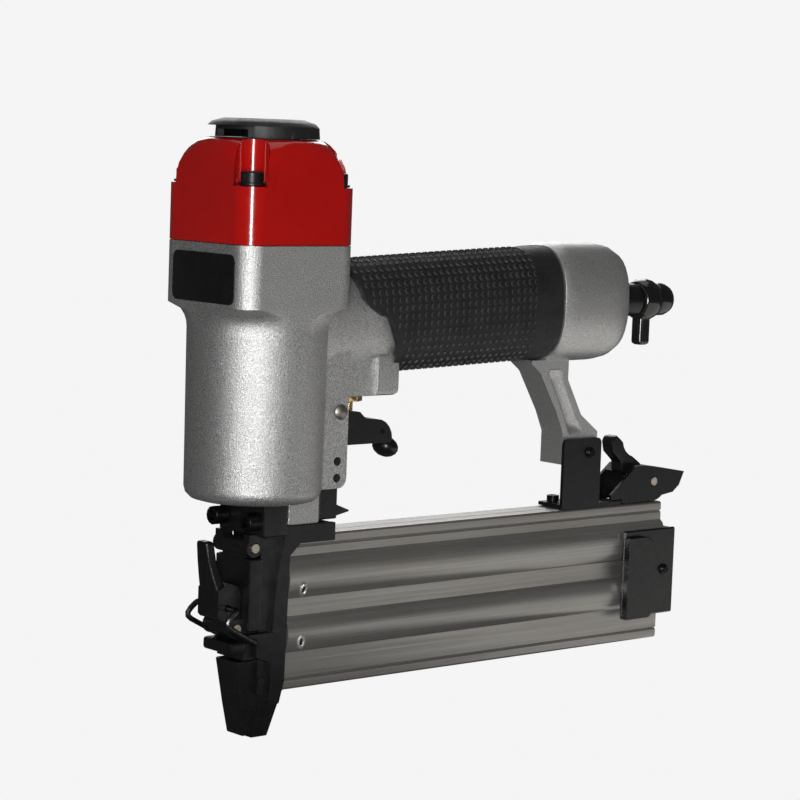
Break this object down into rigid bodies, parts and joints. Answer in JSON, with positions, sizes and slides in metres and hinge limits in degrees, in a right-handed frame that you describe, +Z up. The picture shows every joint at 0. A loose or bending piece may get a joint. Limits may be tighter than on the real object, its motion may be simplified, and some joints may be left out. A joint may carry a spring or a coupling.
{
  "type": "pneumatic nail gun",
  "caption": "Pneumatic brad nailer: die-cast cylinder and handle, red head cap, rubber grip, trigger, sliding magazine half and a latched nose door.",
  "frame": {"origin": "middle of the flat nose pad just behind the drive slot, on the mid plane", "axes": "+X rearwards along the magazine to the air inlet, +Z up the cylinder, -Y the side with the thumb pull; the drive axis is the line x = -0.0037, y = 0"},
  "size_m": [0.2594, 0.054, 0.2359],
  "materials": {
    "cast": "fine-textured silver die-casting",
    "red_paint": "glossy red paint",
    "black_steel": "black oxide, satin",
    "bright_steel": "plain steel",
    "wire": "dark spring wire",
    "aluminium": "extruded, satin",
    "brass": "plain brass",
    "rubber": "matte black moulded grip",
    "black_plastic": "black moulded plastic",
    "seal": "black sealing rubber"
  },
  "bodies": {
    "tool": {"body": "cast", "cylinder_cap": "red_paint", "cap_gasket": "seal", "cap_bolt_1": "black_steel", "cap_bolt_2": "black_steel", "cap_bolt_3": "black_steel", "cap_bolt_4": "black_steel", "exhaust_bolt": "black_steel", "cylinder_sleeve": "aluminium", "bumper": "seal", "head_valve_spring": "wire", "handle_grip": "rubber", "end_cap": "cast", "end_cap_seal": "seal", "inlet_fitting": "black_steel", "dust_cap": "black_plastic", "trigger_pin": "bright_steel", "trigger_valve": "brass", "guide_stay": "black_steel", "stay_pin_1": "black_steel", "stay_pin_2": "black_steel", "driver_guide": "black_steel", "guide_screw_1": "black_steel", "guide_screw_2": "black_steel", "door_hinge_pin": "bright_steel", "magazine_fixed_half": "aluminium", "strut_bracket": "black_steel", "strut_screw": "black_steel", "bracket_bolt_1": "black_steel", "bracket_bolt_2": "black_steel"},
    "exhaust": {"exhaust_cover": "black_plastic"},
    "head_valve": {"head_valve": "aluminium", "head_valve_seal": "seal"},
    "driver": {"piston": "aluminium", "piston_seal": "seal", "driver_blade": "bright_steel"},
    "trigger": {"trigger": "black_steel"},
    "valve_stem": {"valve_stem": "brass"},
    "magazine_slide": {"magazine_sliding_half": "aluminium", "thumb_pull": "black_plastic", "thumb_pull_screw": "black_steel", "rear_latch_block": "black_steel", "rear_latch_pin": "bright_steel"},
    "rear_latch": {"rear_latch": "black_steel"},
    "pusher": {"pusher": "black_steel", "pusher_spring": "bright_steel"},
    "nose_door": {"nose_door": "black_steel", "lever_pin": "bright_steel"},
    "latch_lever": {"latch_lever": "black_steel"},
    "wire_bail": {"wire_bail": "wire"}
  },
  "joints": [
    {"name": "exhaust_turn", "type": "hinge", "parent": "tool", "child": "exhaust", "pos_m": [-0.0037, 0, 0.2288], "axis": [0, 0, 1], "continuous": true},
    {"name": "head_valve_lift", "type": "slide", "parent": "tool", "child": "head_valve", "axis": [0, 0, 1], "range_m": [0, 0.004], "stiffness_N_per_m": 400, "deforming": ["head_valve_spring"]},
    {"name": "drive_stroke", "type": "slide", "parent": "tool", "child": "driver", "axis": [0, 0, -1], "range_m": [0, 0.056]},
    {"name": "trigger_pull", "type": "hinge", "parent": "tool", "child": "trigger", "pos_m": [0.0289, 0, 0.1247], "axis": [0, -1, 0], "range_deg": [0, 8], "stiffness_Nm_per_rad": 0.8},
    {"name": "stem_push", "type": "slide", "parent": "tool", "child": "valve_stem", "axis": [0, 0, 1], "range_m": [0, 0.00196]},
    {"name": "magazine_open", "type": "slide", "parent": "tool", "child": "magazine_slide", "axis": [1, 0, 0], "range_m": [0, 0.15]},
    {"name": "rear_latch_press", "type": "hinge", "parent": "magazine_slide", "child": "rear_latch", "pos_m": [0.2095, 0, 0.0865], "axis": [0, 1, 0], "range_deg": [0, 15], "stiffness_Nm_per_rad": 0.3},
    {"name": "pusher_feed", "type": "slide", "parent": "tool", "child": "pusher", "axis": [1, 0, 0], "range_m": [0, 0.16]},
    {"name": "door_swing", "type": "hinge", "parent": "tool", "child": "nose_door", "pos_m": [-0.0101, 0, 0.0744], "axis": [0, 1, 0], "range_deg": [0, 45]},
    {"name": "lever_swing", "type": "hinge", "parent": "nose_door", "child": "latch_lever", "pos_m": [-0.0157, 0, 0.0435], "axis": [0, -1, 0], "range_deg": [0, 80]},
    {"name": "bail_swing", "type": "hinge", "parent": "latch_lever", "child": "wire_bail", "pos_m": [-0.0187, 0, 0.0515], "axis": [0, -1, 0], "range_deg": [-80, 0]}
  ],
  "couplings": [
    {"joint": "stem_push", "follows": "trigger_pull", "m_per_rad": 0.0139},
    {"joint": "bail_swing", "follows": "lever_swing", "ratio": -1}
  ]
}
